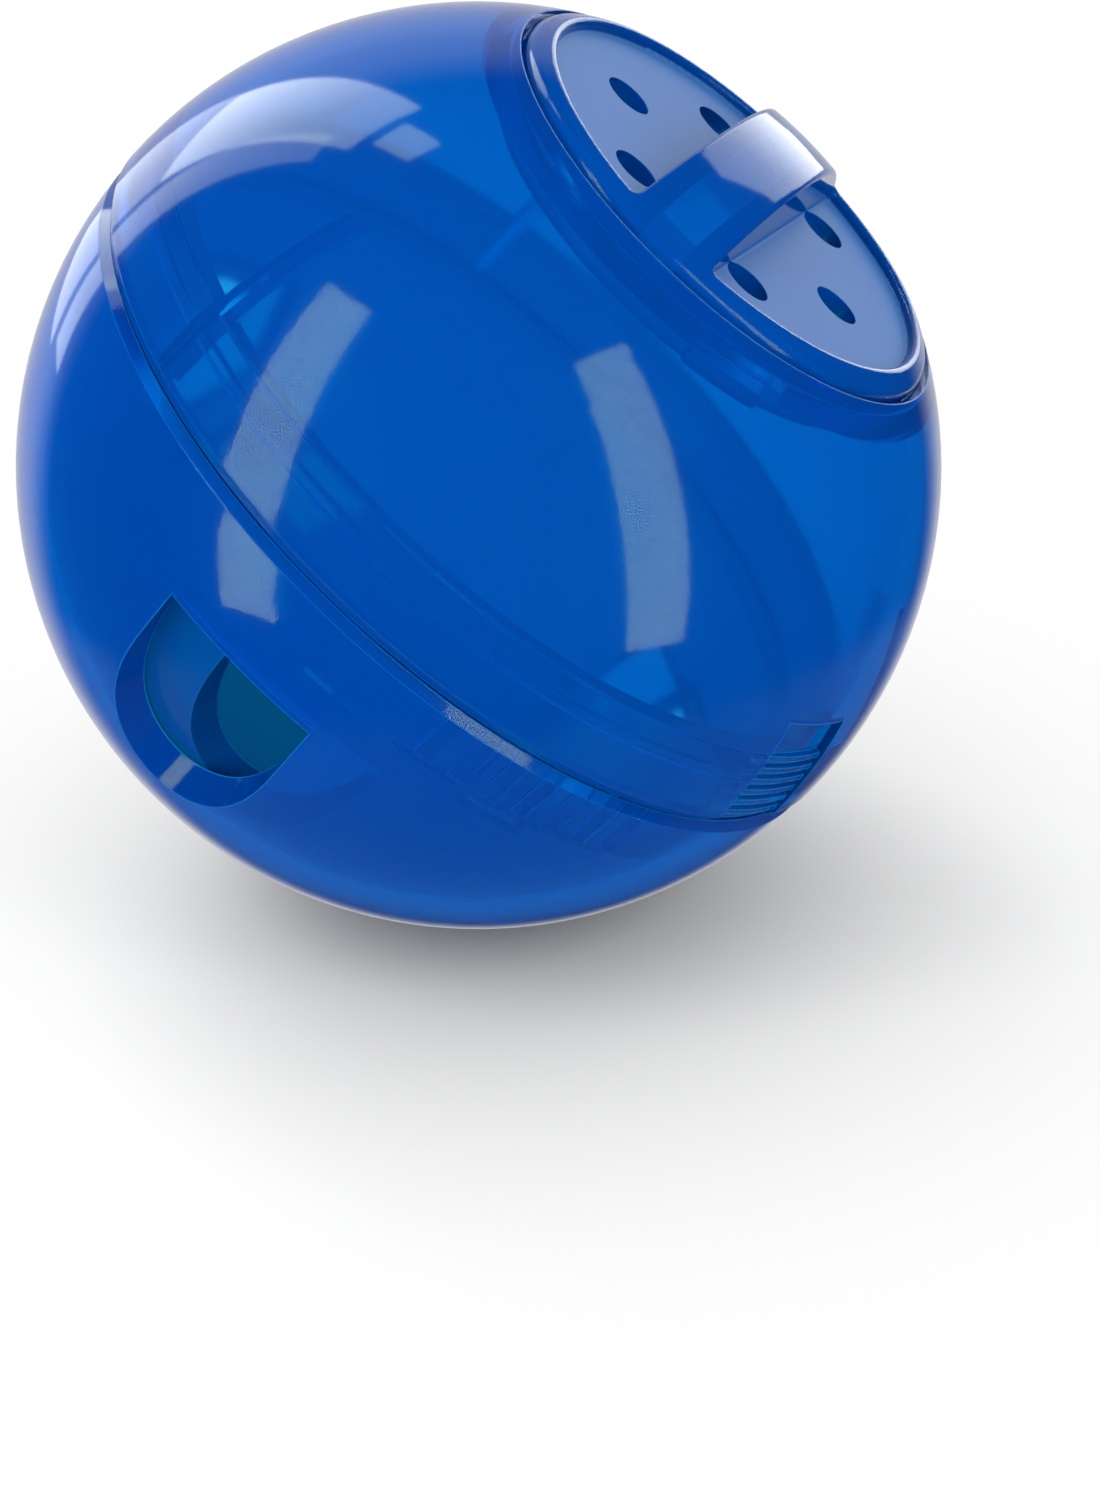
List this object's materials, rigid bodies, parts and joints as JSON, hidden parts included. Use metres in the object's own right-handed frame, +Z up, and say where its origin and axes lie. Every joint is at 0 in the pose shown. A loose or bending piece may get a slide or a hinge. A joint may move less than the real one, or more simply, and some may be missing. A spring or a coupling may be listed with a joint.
{
  "type": "slow feeder ball",
  "caption": "Hollow food-dispensing ball of two halves with a lift-off fill cap and a grip bar; the lower half turns to open or close its dispensing notches.",
  "frame": {"origin": "centre of the ball", "axes": "+Z up through the middle of the fill cap, +X through the middle of one notch of the inner cup"},
  "size_m": [0.08, 0.08, 0.0798],
  "materials": {
    "upper_plastic": "glossy translucent blue plastic",
    "lower_plastic": "glossy translucent blue plastic",
    "cup_plastic": "glossy translucent blue plastic",
    "cap_plastic": "glossy blue plastic with a matte sunken disc"
  },
  "bodies": {
    "upper_half": {"upper_shell": "upper_plastic", "shutter_cup": "cup_plastic"},
    "lower_half": {"lower_shell": "lower_plastic"},
    "fill_cap": {"cap": "cap_plastic"}
  },
  "joints": [
    {"name": "portion_twist", "type": "hinge", "parent": "upper_half", "child": "lower_half", "pos_m": [0, 0, 0], "axis": [0, 0, 1], "range_deg": [-15, 10]},
    {"name": "cap_lift", "type": "slide", "parent": "upper_half", "child": "fill_cap", "axis": [0, 0, 1], "range_m": [0, 0.014]}
  ]
}
